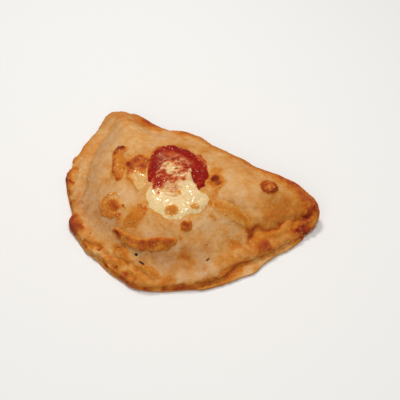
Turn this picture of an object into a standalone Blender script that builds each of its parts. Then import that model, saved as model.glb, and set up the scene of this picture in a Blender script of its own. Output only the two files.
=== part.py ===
"""A calzone: one folded sheet of dough, baked shut, with tomato and melted cheese on top.

The fold runs along X at the back (+Y), the sealed rim runs round the front, and the
underside lies flat on Z = 0. Sizes are in metres.
"""

import math

import bmesh
import bpy
import numpy as np
from mathutils import Matrix
from mathutils.bvhtree import BVHTree

MM = 0.001

# Driving dimensions of the dough
HALF_LENGTH = 112 * MM      # from the middle to either corner
CORNER_Y = 46 * MM          # where the corners are widest
FRONT_DEPTH = 124 * MM      # from there to the front of the rim
FOLD_DEPTH = 28 * MM        # from there to the back of the fold
FOLD_SQUARENESS = 5.6       # 2 is an ellipse; more makes the fold straighter
DOME_TOP = 42 * MM          # the highest part of the filled middle
DOME_SLOPE = 46 * MM        # from the pressed band to the full height
FOLD_TOP = 31 * MM          # the dough's height just inside the fold
FOLD_NOSE = 15 * MM         # how round the fold is
FOLD_SLOPE = 40 * MM        # from the fold to the full height
SHEET = 3.6 * MM            # one baked layer of dough at the rim
RIM_TOP = 8.6 * MM          # both layers pressed together
RIM_WIDTH = 14 * MM         # the pressed band
ROLLED_RIM = 3.5 * MM       # how much higher the rim is on the right, where it is rolled
FOOT = 2.2 * MM             # how softly the dome rises from that band
BLEND = 4 * MM              # how softly the slopes of the dome meet
GAP = 0.35 * MM             # left between pieces that touch

AROUND = 120                # points round the outline
TOP_RINGS = 14              # from the rim to the middle of the top
BROAD = 7                   # degrees: narrower swells of the outline stay at the edge
MIDDLE = (0.0, 10 * MM)     # where the rings of the top close


def smooth(low, high, value):
    """0 at low, 1 at high, and an even curve between them."""
    share = np.clip((value - low) / (high - low), 0.0, 1.0)
    return share * share * (3 - 2 * share)


def hill(x, y, at, size, turn=0):
    """A soft hill of height 1 at a place in mm, size long and wide, turned by degrees."""
    c, s = math.cos(math.radians(turn)), math.sin(math.radians(turn))
    dx, dy = x / MM - at[0], y / MM - at[1]
    along, across = (dx * c + dy * s) / size[0], (dy * c - dx * s) / size[1]
    return np.exp(-along * along - across * across)


# Where the outline leaves a plain half-moon: angle in degrees, its spread, and the amount in mm
OUTLINE_SWELLS = (
    (-137, 24, -9.0),       # the left front is flatter
    (-131, 3.5, 2.4),       # a small knob on it
    (-96, 14, -4.2),
    (-74, 14, 2.0),
    (-50, 9, -2.2),         # the front's right end is flatter
    (-31, 6, -2.2),         # where the lower sheet is notched
    (-11, 5, 3.8),          # a lobe of the lower sheet
    (4, 5.5, -2.6),
    (-6, 20, -7.5),
    (35, 7, 5.5),           # the right corner is full
    (130, 9, -5.0),         # the fold's waist beside the horn
    (151, 8, 5.0),          # the left corner stands out as a horn
    (172, 22, -7.0),
    (-175, 2.4, 2.8),       # a torn tab on the left
)

# Hills and hollows of the top: place in mm, length and width in mm, turn in degrees, height in mm
TOP_HILLS = (
    ((-88, 58), (19, 22), -12, 11.5),     # the horn's raised ear
    ((-54, 58), (18, 14), 0, -3.0),      # the dip beside it
    ((0, 26), (50, 30), 0, 1.5),
)


# Round toppings: middle, reach at even steps round it from +X, and thickness, in mm
TOMATO = (3, 17), (27, 25.5, 23, 22.5, 24.5, 25.5, 22.5, 24, 27, 30.5, 30.5, 29.5,
                   27.5, 26, 24.5, 25, 26.5, 28.5, 26, 25, 24.5, 25, 27, 28.5), 2.6
MELT = (12, 0), (30, 28.5, 22.5, 15.5, 16, 17.5, 22, 28, 30.5, 30.5, 28.5, 25,
                 22.5, 21, 19.5, 24, 25.5, 27.5, 29, 30, 30.5, 29.5, 29.5, 30), 3.0
FLOW = (-26, 2), (7.2, 7, 6.8, 6.8, 8, 10.4, 12.2, 13, 14, 14, 12.5, 11.5,
                  11.5, 12, 11.5, 11, 12, 13, 14.5, 17, 21.5, 29, 15, 9), 1.8
DROPS = {
    "cheese_button": ((-24.5, -35.5), (13.5, 8, 7.5, 9, 10.5, 13.5, 13, 11, 9, 9, 10.5, 15), 2.6),
    "cheese_drop": ((38.7, -22), (3.8, 4, 3.5, 3.4, 4.6, 3.8), 2.0),
    "cheese_spot": ((34.4, 24.2), (5.5, 5, 5.5, 4.5, 4, 5), 1.6),
    "cheese_disc": ((69.5, 49), (7, 7.2, 8, 6.2, 7.6, 7.2), 2.2),
}
# Long toppings: places along their middle with the half width there, and thickness, in mm
STRANDS = {
    "cheese_hook": (((-47.5, 12.5, 2.4), (-53.5, 11, 3.4), (-50.5, 4.5, 3.9), (-45, -2, 4.4), (-39.5, -9, 4.6), (-33, -16, 3)), 2.2),
    "cheese_patch": (((0, -26.5, 3), (0.5, -31, 6.4), (0, -36, 6.8), (-2, -41, 5.4), (-5, -45, 3.5)), 1.2),
    "cheese_string": (((-15, -49.3, 2.2), (-4.5, -50.7, 2.5), (7.5, -51.8, 2.9), (17.5, -50.2, 3.4), (26.5, -45.1, 4),
                       (33.5, -39.6, 3.6), (37.3, -34.8, 2.2)), 2.8),
    "cheese_trail": (((45, 5.5, 3.2), (50, 8, 4.5), (57, 11, 4.6), (65, 14, 4.2), (73, 15.5, 3)), 1.2),
}

# How a topping is divided: round ones from the middle outwards, long ones along their length
SMALL = {"u_segments": 24, "v_segments": 6}
LARGE = {"u_segments": 40, "v_segments": 10}
LONG = {"u_segments": 8, "v_segments": 24, "matrix": Matrix.Rotation(math.pi / 2, 4, "Y")}


def angle_of(x, y):
    """The direction of places from the middle of the top, in degrees."""
    return np.degrees(np.arctan2(y - MIDDLE[1], x - MIDDLE[0]))


def swell(angle, narrowest):
    """How far the rim stands out of the half-moon, by the swells at least so wide."""
    out = np.zeros_like(angle)
    for at, spread, amount in OUTLINE_SWELLS:
        off = (angle - at + 180) % 360 - 180
        out += amount * np.exp(-((off / spread) ** 2)) * (spread >= narrowest)
    if not narrowest:
        out += 0.7 * np.sin(np.radians(angle * 11 + 40)) + 0.5 * np.sin(np.radians(angle * 19))
    return out * MM


def spaced(x, y, count):
    """A closed line through x and y as evenly spaced points."""
    step = np.hypot(np.roll(x, -1) - x, np.roll(y, -1) - y)
    along = np.concatenate([[0], np.cumsum(step)])
    even = np.linspace(0, along[-1], count, endpoint=False)
    return np.interp(even, along, np.append(x, x[0])), np.interp(even, along, np.append(y, y[0]))


def outline(count, narrowest=0):
    """The dough's edge seen from above: an ellipse in front, squared off along the fold."""
    turn = np.linspace(0, 2 * math.pi, 2400, endpoint=False)
    c, s = np.cos(turn), np.sin(turn)
    back = s > 0
    x = np.where(back, np.sign(c) * np.abs(c) ** (2 / FOLD_SQUARENESS), c) * HALF_LENGTH
    depth = np.where(back, np.abs(s) ** (2 / FOLD_SQUARENESS) * FOLD_DEPTH, s * FRONT_DEPTH)
    dx, dy = x - MIDDLE[0], CORNER_Y + depth - MIDDLE[1]
    reach = np.hypot(dx, dy)
    grown = 1 + swell(np.degrees(np.arctan2(dy, dx)), narrowest) / reach
    return spaced(MIDDLE[0] + dx * grown, MIDDLE[1] + dy * grown, count)


def foldness(x, y):
    """1 along the fold, where the dough turns over, and 0 along the sealed rim."""
    return smooth(38 * MM, 54 * MM, y) * smooth(-104 * MM, -82 * MM, x)


def fold_height(x):
    """The dough's height just inside the fold: full in the middle, low beside the horn."""
    return FOLD_TOP - 13 * MM * smooth(-22 * MM, -62 * MM, x) - 5 * MM * smooth(60 * MM, 100 * MM, x)


def ledge(x, y):
    """How far the lower sheet stands out past the upper one: most on the right front."""
    angle = angle_of(x, y)
    right = smooth(-50, -34, angle) * smooth(20, 8, angle)
    return (1.0 + 2.2 * right + 7.6 * np.exp(-(((angle + 13.5) / 7.5) ** 2))) * MM


def inward(x, y, distance):
    """The points moved towards the middle."""
    dx, dy = MIDDLE[0] - x, MIDDLE[1] - y
    reach = np.hypot(dx, dy)
    return x + dx / reach * distance, y + dy / reach * distance


def distance_to(line, x, y):
    """From each place to a line of evenly spaced points, rounded off where its sides meet."""
    px, py = line
    spacing = np.median(np.hypot(np.diff(px), np.diff(py)))
    apart = np.hypot(x[:, None] - px[None], y[:, None] - py[None]).clip(0.4 * spacing)
    return (np.sum(apart**-5.0, axis=1) * spacing * 0.75) ** -0.25


def top_edge():
    """The upper sheet's edge without its small waves: its sealed part and its folded part."""
    x, y = outline(700, narrowest=BROAD)
    x, y = inward(x, y, ledge(x, y))
    folded = foldness(x, y) > 0.5
    return (x[~folded], y[~folded]), (x[folded], y[folded])


SEALED, FOLDED = top_edge()


def top_height(x, y):
    """The height of the dough's upper side at places seen from above."""
    from_seal = distance_to(SEALED, x, y)
    past_band = FOOT * np.logaddexp(0, (from_seal - RIM_WIDTH) / FOOT)
    climb = np.clip(past_band / DOME_SLOPE, 0, 1)
    seal_side = RIM_TOP + (DOME_TOP - RIM_TOP) * (1 - (1 - climb) ** 2.3)
    from_fold = distance_to(FOLDED, x, y)
    climb = np.clip((from_fold - FOLD_NOSE) / FOLD_SLOPE, 0, 1)
    base = fold_height(x)
    fold_side = base + (DOME_TOP + BLEND - base) * (1 - (1 - climb) ** 2)
    z = -BLEND * np.log(np.exp(-seal_side / BLEND) + np.exp(-fold_side / BLEND))
    rolled = smooth(-64, -46, angle_of(x, y)) * smooth(24, 8, angle_of(x, y))
    z += rolled * ROLLED_RIM * np.exp(-((from_seal - 0.5 * RIM_WIDTH) / (0.4 * RIM_WIDTH)) ** 2)
    for at, size, turn, amount in TOP_HILLS:
        z += hill(x, y, at, size, turn) * amount * MM
    return z


def seal_profile(out):
    """The sealed rim from its flat underside, round both layers, to its top: inset and height."""
    lip = RIM_TOP - SHEET
    return [
        (6 * MM + 0 * out, 0.0),
        (2.4 * MM + 0 * out, 0.0),
        (0.7 * MM + 0 * out, 0.25 * SHEET),
        (0.0 * out, 0.55 * SHEET),
        (0.5 * MM + 0 * out, 0.9 * SHEET),
        (1.4 * MM + 0.5 * out, SHEET),
        (2.4 * MM + out, 0.98 * SHEET),
        (0.9 * MM + out, SHEET + 0.22 * lip),
        (0.4 * MM + out, SHEET + 0.55 * lip),
        (1.2 * MM + out, SHEET + 0.86 * lip),
        (3.2 * MM + out, RIM_TOP),
    ]


def fold_profile(count, top):
    """The rounded fold, from the flat underside over to its local top: inset and height."""
    turns = [math.pi * k / (count - 1) for k in range(count)]
    return [(FOLD_NOSE * (1 - math.sin(t)), top * (1 - math.cos(t)) / 2) for t in turns]


def add_ring(bm, edges, x, y, z):
    """Extrudes an open edge of the mesh into one more ring, and returns its edges."""
    made = bmesh.ops.extrude_edge_only(bm, edges=edges)["geom"]
    ring = [e for e in made if isinstance(e, bmesh.types.BMEdge) and e.is_boundary]
    for v in {v for e in ring for v in e.verts}:
        k = v[bm.verts.layers.int["place"]]
        v.co = (x[k], y[k], z[k])
    return ring


def crust():
    """The folded dough as one closed skin: underside, rim or fold, and domed top."""
    x, y = outline(AROUND)
    fold = foldness(x, y)
    out = ledge(x, y)
    bm = bmesh.new()
    place = bm.verts.layers.int.new("place")
    bmesh.ops.create_circle(bm, cap_ends=True, cap_tris=True, segments=AROUND, radius=1.0)
    rim = [v for v in bm.verts if v.is_boundary]
    rim.sort(key=lambda v: math.atan2(v.co.y, v.co.x) % (2 * math.pi))
    for k, v in enumerate(rim):
        v[place] = k
    hub = next(v for v in bm.verts if not v.is_boundary)
    hub.co = (*MIDDLE, 0.0)
    edges = [e for e in bm.edges if e.is_boundary]

    sealed = seal_profile(out)
    tx, ty = inward(x, y, FOLD_NOSE)
    folded = fold_profile(len(sealed), top_height(tx, ty))
    for number, ((a, z_seal), (b, z_fold)) in enumerate(zip(sealed, folded)):
        rx, ry = inward(x, y, a * (1 - fold) + b * fold)
        rz = z_seal * (1 - fold) + z_fold * fold
        if number == 0:
            for v in rim:
                v.co = (rx[v[place]], ry[v[place]], 0.0)
        else:
            edges = add_ring(bm, edges, rx, ry, rz)
    angle = angle_of(x, y)
    waves = swell(angle, 0) - swell(angle, BROAD)
    for step in range(1, TOP_RINGS):
        share = (step / TOP_RINGS) ** 1.15
        ex, ey = inward(rx, ry, waves * smooth(0, 0.2, share))
        tx, ty = ex + (MIDDLE[0] - ex) * share, ey + (MIDDLE[1] - ey) * share
        edges = add_ring(bm, edges, tx, ty, top_height(tx, ty))
    lid = bmesh.ops.contextual_create(bm, geom=edges)["faces"]
    peak = bmesh.ops.poke(bm, faces=lid)["verts"][0]
    peak.co = (*MIDDLE, top_height(np.array([MIDDLE[0]]), np.array([MIDDLE[1]]))[0])
    upper = [v for v in bm.verts if v.co.z > RIM_TOP - 0.5 * SHEET]
    for _ in range(3):
        bmesh.ops.smooth_vert(bm, verts=upper, factor=0.5, use_axis_z=True)
    bmesh.ops.recalc_face_normals(bm, faces=bm.faces)
    return bm


def curve_through(points, at, closed=False):
    """Smooth values through the rows of points, at places counted in rows."""
    points = np.asarray(points, dtype=float)
    row = np.floor(at).astype(int)
    share = (at - row)[:, None]
    near = [row + step for step in (-1, 0, 1, 2)]
    count = len(points)
    a, b, c, d = (points[k % count if closed else k.clip(0, count - 1)] for k in near)
    return b + 0.5 * share * (c - a + share * (2 * a - 5 * b + 4 * c - d + share * (3 * (b - c) + d - a)))


def pool(middle, reach):
    """The plan of a round patch: its reach in mm at even steps round its middle, from +X."""
    def plan(u, v):
        turn = np.arctan2(v, u) % (2 * math.pi)
        out = curve_through([[r] for r in reach], turn / (2 * math.pi) * len(reach), closed=True)[:, 0]
        return (middle[0] + u * out) * MM, (middle[1] + v * out) * MM
    return plan


def strip(stations):
    """The plan of a long patch: places along its middle and its half width there, in mm."""
    def plan(u, v):
        at = (u.clip(-1, 1) + 1) / 2 * (len(stations) - 1)
        x, y, half = curve_through(stations, at).T
        ahead = curve_through(stations, at + 0.02) - curve_through(stations, at - 0.02)
        tx, ty = ahead[:, 0], ahead[:, 1]
        across = v / np.sqrt(np.clip(1 - u * u, 1e-6, 1)) * half * np.sqrt(np.clip(1 - u**6, 0, 1))
        length = np.hypot(tx, ty)
        return (x - ty / length * across) * MM, (y + tx / length * across) * MM
    return plan


def upward(x, y):
    """The direction straight out of the dough's upper side."""
    step = 1 * MM
    sx = (top_height(x + step, y) - top_height(x - step, y)) / (2 * step)
    sy = (top_height(x, y + step) - top_height(x, y - step)) / (2 * step)
    length = np.sqrt(sx * sx + sy * sy + 1)
    return np.stack([-sx, -sy, np.ones_like(sx)], axis=1) / length[:, None]


def laid_on(below, net, plan, thickness, gap=GAP):
    """A lens of melted topping whose flat side follows what lies below it."""
    bm = bmesh.new()
    bmesh.ops.create_uvsphere(bm, radius=1, **net)
    ball = np.array([v.co for v in bm.verts])
    x, y = plan(ball[:, 0], ball[:, 1])
    trees = [BVHTree.FromObject(o, bpy.context.evaluated_depsgraph_get()) for o in below]
    down = [[tree.ray_cast((*place, 1.0), (0, 0, -1))[0] for tree in trees] for place in zip(x, y)]
    z = np.array([max(hit.z for hit in hits if hit) for hits in down])
    lift = gap + thickness * np.clip(ball[:, 2], 0, 1)
    places = np.stack([x, y, z], axis=1) + upward(x, y) * lift[:, None]
    for v, place in zip(bm.verts, places):
        v.co = place
    return bm


def clear_scene():
    for o in list(bpy.data.objects):
        bpy.data.objects.remove(o)


def material(name, colour, roughness):
    made = bpy.data.materials.new(name)
    made.use_nodes = True
    shader = made.node_tree.nodes["Principled BSDF"]
    shader.inputs["Base Color"].default_value = (*colour, 1)
    shader.inputs["Roughness"].default_value = roughness
    return made


def finish(bm, name, look):
    """Turns the shape into the named object, with its material."""
    mesh = bpy.data.meshes.new(name)
    bm.to_mesh(mesh)
    bm.free()
    mesh.shade_smooth()
    mesh.materials.append(look)
    made = bpy.data.objects.new(name, mesh)
    bpy.context.scene.collection.objects.link(made)
    return made


def main():
    clear_scene()
    dough_look = material("baked dough", (0.60, 0.29, 0.08), 0.6)
    tomato_look = material("tomato", (0.30, 0.015, 0.008), 0.25)
    melt_look = material("melted mozzarella", (0.82, 0.60, 0.28), 0.3)
    browned_look = material("browned cheese", (0.50, 0.15, 0.015), 0.35)

    dough = finish(crust(), "crust", dough_look)
    middle, reach, thickness = TOMATO
    sauce = laid_on([dough], LARGE, pool(middle, reach), thickness * MM)
    sauce = finish(sauce, "tomato_sauce", tomato_look)
    middle, reach, thickness = MELT
    melt = laid_on([dough, sauce], LARGE, pool(middle, reach), thickness * MM, gap=2 * GAP)
    finish(melt, "mozzarella", melt_look)
    middle, reach, thickness = FLOW
    finish(laid_on([dough], LARGE, pool(middle, reach), thickness * MM), "cheese_flow", browned_look)
    for name, (middle, reach, thickness) in DROPS.items():
        finish(laid_on([dough], SMALL, pool(middle, reach), thickness * MM), name, browned_look)
    for name, (stations, thickness) in STRANDS.items():
        finish(laid_on([dough], LONG, strip(stations), thickness * MM), name, browned_look)


main()
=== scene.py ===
import math

import bmesh
import bpy
import numpy as np
from bpy.props import FloatProperty, FloatVectorProperty, IntProperty, PointerProperty
from mathutils import Matrix, Vector, noise
from mathutils.bvhtree import BVHTree


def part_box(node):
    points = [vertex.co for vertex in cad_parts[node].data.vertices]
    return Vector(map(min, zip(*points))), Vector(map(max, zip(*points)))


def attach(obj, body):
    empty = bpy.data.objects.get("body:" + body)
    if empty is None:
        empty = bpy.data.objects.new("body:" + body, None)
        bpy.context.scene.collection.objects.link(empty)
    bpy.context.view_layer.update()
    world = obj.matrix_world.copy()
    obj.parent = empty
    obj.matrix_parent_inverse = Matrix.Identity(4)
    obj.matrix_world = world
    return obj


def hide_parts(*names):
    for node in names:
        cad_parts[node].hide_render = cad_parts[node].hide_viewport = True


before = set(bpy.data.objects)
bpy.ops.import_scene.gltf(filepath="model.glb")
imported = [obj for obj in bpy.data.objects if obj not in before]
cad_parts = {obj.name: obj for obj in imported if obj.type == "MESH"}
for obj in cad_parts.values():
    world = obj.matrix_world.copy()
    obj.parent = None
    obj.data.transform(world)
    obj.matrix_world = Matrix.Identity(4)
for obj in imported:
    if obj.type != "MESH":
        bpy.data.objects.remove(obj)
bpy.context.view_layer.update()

bl_info = {
    "name": "Baked calzone",
    "version": (1, 0, 0),
    "blender": (4, 5, 0),
    "location": "View3D > Sidebar > Calzone",
    "description": "Browned dough, tomato, melted mozzarella and browned cheese for a calzone",
    "category": "Object",
}

MM = 0.001

# All places below are in millimetres from the middle of the box: x along the fold, y towards it.

# Paler and browner areas of the dough: place, half length and width, turn in degrees, browning
BAKED_AREAS = (
    ((94, 56), (20, 22), 0, 0.20),      # the dome's right shoulder
    ((102, 68), (9, 8), 0, 0.18),
    ((78, 36), (13, 14), 0, 0.13),
    ((52, 30), (13, 12), 0, -0.07),
    ((52, -12), (11, 8), 0, -0.07),
    ((-12, -29), (10, 8), 0, -0.05),
    ((86, 38), (6, 5), 40, 0.16),
    ((92, 39), (4, 4), 0, 0.06),
    ((82, 30), (6, 3), 50, 0.10),
    ((88, 66), (16, 5), 0, 0.06),
    ((66, 66), (12, 4), 0, -0.05),
    ((-69, 60), (5, 14), 0, 0.20),      # the horn's brown streaks
    ((-60, 67), (9, 4), 0, 0.18),
    ((-92, 60), (8, 12), 30, 0.16),
    ((-82, 54), (8, 14), 20, 0.10),
    ((-84, 38), (10, 10), 0, 0.04),
    ((-100, 26), (4, 14), -8, 0.08),
    ((-94, 40), (4, 14), 0, -0.03),
    ((-58, 40), (16, 10), 30, 0.03),
    ((-30, 56), (16, 10), 0, 0.05),
    ((-28, 67), (5, 5), 0, 0.12),
    ((-5, 50), (5, 8), 0, 0.12),
    ((-76, 6), (14, 12), -30, 0.06),
    ((-34, 22), (5, 6), 0, 0.10),
    ((-45, -19), (6, 3), -10, 0.10),
    ((-60, -14), (16, 10), -50, 0.03),
    ((-52, -26), (9, 4), -30, 0.06),
    ((50, -24), (13, 4), 30, 0.10),
    ((57, -20), (5, 4), 10, 0.08),
    ((42, -32), (2.2, 2.0), 0, 0.22),
    ((50, -39), (9, 3), 10, 0.10),
    ((60, -44), (16, 10), 40, 0.12),
    ((44, -44), (20, 14), 20, 0.06),
    ((46, -57), (6, 4.5), 20, 0.26),
    ((35, -47), (5, 7), 0, 0.05),
    ((26, -55), (6, 3), 10, 0.08),
    ((56, -52.5), (5, 4), 40, -0.18),
    ((73, -20), (6, 12), -20, 0.10),
    ((77, -13), (2.5, 3), 0, 0.22),
    ((71, -3), (6, 5), 20, 0.22),
    ((60, -8), (10, 6), 0, 0.03),
    ((90, 22), (7, 8), 0, 0.10),
    ((60, -32), (8, 5), 20, -0.06),
    ((-62, -38), (9, 6), -40, -0.06),
    ((-1, -58.5), (8, 3), 0, 0.30),
    ((10, -67), (16, 5), 0, -0.05),
    ((40, -14), (7, 12), 0, -0.26),
    ((58, 12), (14, 7), 16, -0.05),
    ((-28, -59), (18, 4), -18, 0.14),
    ((-44, -57), (6, 4), -30, 0.16),
    ((-10, -71.5), (7, 3), -15, -0.12),
    ((-21, -68.5), (6, 3), -15, -0.14),
    ((-9, -46), (5, 4), 0, 0.12),
    ((-40, -5), (7, 5), -35, 0.12),
    ((-5, -55.5), (6, 3), 0, 0.14),
    ((-12, -36), (4, 3), 0, 0.08),
    ((44, -62), (4, 3), 0, 0.15),
    ((83, -4), (4, 7), -10, 0.15),
    ((96, 13), (3, 6), -20, -0.26),
    ((-106, 55), (5, 14), 0, 0.12),
    ((-86, -12), (8, 10), 30, 0.09),
    ((-96, 25), (6, 26), 6, 0.06),
    ((-17, -30), (9, 5), -14, -0.06),
    ((68, -40), (6, 9), -40, -0.24),
    ((57, -53), (6, 4), 40, -0.15),
    ((45, -65), (6, 3), 30, 0.12),
    ((82, -22), (4, 8), -20, 0.27),
    ((41.5, 4.5), (3.6, 4.4), -20, 0.30),
    ((-7, -45), (5, 5), 0, 0.08),
    ((20, -59), (7, 3), 0, 0.10),
    ((18, -69), (7, 3), 0, -0.26),
    ((84, -19), (4, 4), 0, 0.14),
    ((-14, -61), (5, 3), 0, 0.14),
    ((40, 54), (34, 12), 0, 0.05),
    ((-66, 69), (26, 6), 0, 0.26),
    ((10, 69), (60, 6), 0, 0.28),
    ((70, 69), (34, 6), -4, 0.28),
    ((14, 50), (4, 13), 14, -0.12),
    ((76, 50), (5, 12), 0, -0.13),
    ((57, 37), (4, 10), 14, 0.07),
    ((79, 33), (9, 4), 50, 0.08),
    ((7, -71.5), (6, 3), 0, 0.22),
    ((23, -75), (12, 2.4), 0, 0.22),
    ((-13, -40), (6, 6), 0, 0.10),
    ((35, -40), (7, 4), 40, -0.12),
    ((49, -39), (5, 4), 0, 0.17),
    ((65, -34), (4, 4), 0, 0.10),
    ((88, 2), (4, 4), 0, 0.12),
    ((94, 12), (2.6, 5), -20, 0.14),
    ((97.5, 26), (2.6, 6), -10, 0.08),
    ((97, 36), (3, 5), -20, -0.12),
    # Painted light: paler where the slope below the trail lies in shade
    ((51, 1), (9, 5), 15, -0.13),
    ((40.5, 5.5), (3.5, 3.5), 0, 0.16),
    ((-36, -9), (5, 3.5), -30, 0.09),
    ((-12, 42), (5, 6), 0, 0.12),
    ((-70, 10), (15, 30), 20, -0.04),
    ((48, -44), (16, 9), 20, -0.06),
    ((90, -3), (4, 10), -20, -0.08),
    ((103, 38), (4, 8), 0, 0.18),
    ((56, -37), (15, 10), 20, 0.05),
    ((84, 48), (16, 14), 0, 0.06),
    ((-70, 52), (22, 12), 0, 0.05),
    ((-30, -55), (10, 3), -20, 0.03),
    ((-62, -36), (14, 4), -40, 0.02),
)
# Dull, greyish areas, partly painted shade as in the valley inside the left rim: place, size, turn,
# amount
DULL_AND_SHADE_AREAS = (
    ((-70, 0), (14, 22), 24, 0.35),
    ((-56, -30), (18, 16), -30, 0.6),
    ((-30, -48), (20, 8), -14, 0.7),
    ((-78, 22), (8, 24), 8, 0.1),
    ((-84, 48), (6, 12), 10, 0.4),
    ((66, -28), (12, 14), 20, 0.45),
    ((6, -56), (20, 4), 0, 0.5),
    ((30, -52), (14, 6), 14, 0.5),
    ((50, -44), (17, 11), 20, 0.7),
    ((-60, -37), (13, 8), -40, 0.5),
    ((40, -16), (8, 14), 10, 0.15),
    ((48, -36), (9, 5), 0, 0.3),
    ((58, 18), (9, 4), 20, 0.5),
    ((97, 6), (6, 12), -24, 0.2),
)
# Where melted fat has soaked in: place, size, turn, amount
OILY_AREAS = (
    ((6, 54), (6, 15), 2, 0.5),
    ((42, 50), (22, 14), 0, 0.35),
    ((-12, 44), (5, 8), 0, 0.5),
    ((-98, 56), (9, 14), 0, 0.35),
    ((0, 69), (70, 6), 0, 0.5),
    ((-66, 66), (30, 6), 0, 0.35),
    ((-40, -5), (8, 6), -35, 0.7),
    ((34, 12), (9, 4), -10, 0.4),
    ((-27, 67), (3, 5), 0, 0.5),
    ((21, 41), (8, 3.5), -45, 0.15),
    ((30, 33), (5, 7), 20, 0.95),
    ((35, 23), (5, 4), 0, 0.8),
    ((40, 16), (3.5, 7), 20, 0.7),
    ((40, 5), (5, 5), -20, 1.0),
    ((46, 6), (9, 5), 14, 0.5),
    ((60, 14), (12, 6), 16, 0.6),
    ((72, 14), (8, 5), 0, 0.5),
    ((72, -36), (5, 6), -40, 0.3),
    ((85, 14), (4, 11), -8, 1.0),
    ((96, 33), (5, 10), -20, 0.6),
    ((-42, -3), (7, 14), 40, 0.9),
    ((-26, 8), (14, 10), 0, 0.9),
    ((-24, -33), (12, 6), -18, 0.2),
    ((0, -34), (7, 13), 0, 0.9),
    ((8, -48), (28, 5), 4, 0.3),
    ((22, -28), (16, 4), 16, 0.6),
    ((6, -63), (9, 4), -10, 0.6),
    ((30, -61), (10, 3), 4, 0.6),
    ((14, -69), (22, 4), 0, 0.4),
    ((36, -60), (4, 2.5), 0, 0.6),
    ((71, -3), (6, 5), 20, 0.6),
    ((85, -13), (3, 5), -10, 0.6),
    ((-26, -68), (16, 3), -16, 0.1),
)
# Blisters and small marks: place, size, turn, lift in mm, browning
BLISTERS = (
    ((-50, -54), (9, 5.5), -38, 2.2, 0.37),
    ((-53, -50), (3.4, 3), 0, 0.8, 0.18),
    ((-44, -57.5), (3.6, 3), 0, 0.8, 0.24),
    ((-91, -15), (3.4, 6), 16, 1.3, 0.34),
    ((-96, 1), (3, 4), 10, 0.8, 0.20),
    ((-84, -24), (3, 5), 30, 0.6, 0.22),
    ((-77, -15), (3, 3.4), 0, 0.7, -0.08),
    ((-71, -27), (4, 2.6), -40, 0.7, -0.08),
    ((92, 11), (7.5, 5.4), 40, 1.4, 0.46),
    ((91, 11), (3.4, 2.6), 40, 0.5, 0.16),
    ((49, -2.5), (3.6, 3.2), 0, 0.3, 0.24),
    ((63, 52), (3, 3), 0, 0.2, 0.0),
    ((38, 25), (1.7, 2.2), 30, 0.2, 0.42),
    ((34, 21), (3, 1.6), -30, 0.2, 0.24),
    ((42, 16), (1.8, 4), 20, 0.2, 0.22),
    ((38, 18), (1.6, 3), 0, 0.1, 0.16),
    ((68, 14), (2.4, 1.8), 0, 0.3, 0.20),
    ((73, 13), (3.4, 2), 10, 0.4, 0.26),
    ((103, 38), (3.4, 4.4), 0, 0.8, 0.26),
    ((103, 42), (2.4, 2.6), 0, 0.5, 0.24),
    ((105.5, 46.5), (2.4, 3.0), 0, 0.9, 0.28),
    ((-24.5, 28), (2.4, 5), -20, 0.3, 0.45),
    ((105.5, 59), (4.0, 2.6), 40, -0.6, 0.36),
    ((104, 55), (2.6, 1.6), 30, -0.5, 0.24),
    ((107.5, 53), (2.2, 2.6), 0, 0.7, 0.22),
    ((-14, -42), (2.6, 1.4), 0, 0.3, 0.40),
    ((-13, -34.5), (1.3, 1.3), 0, 0.4, 0.50),
)
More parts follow.
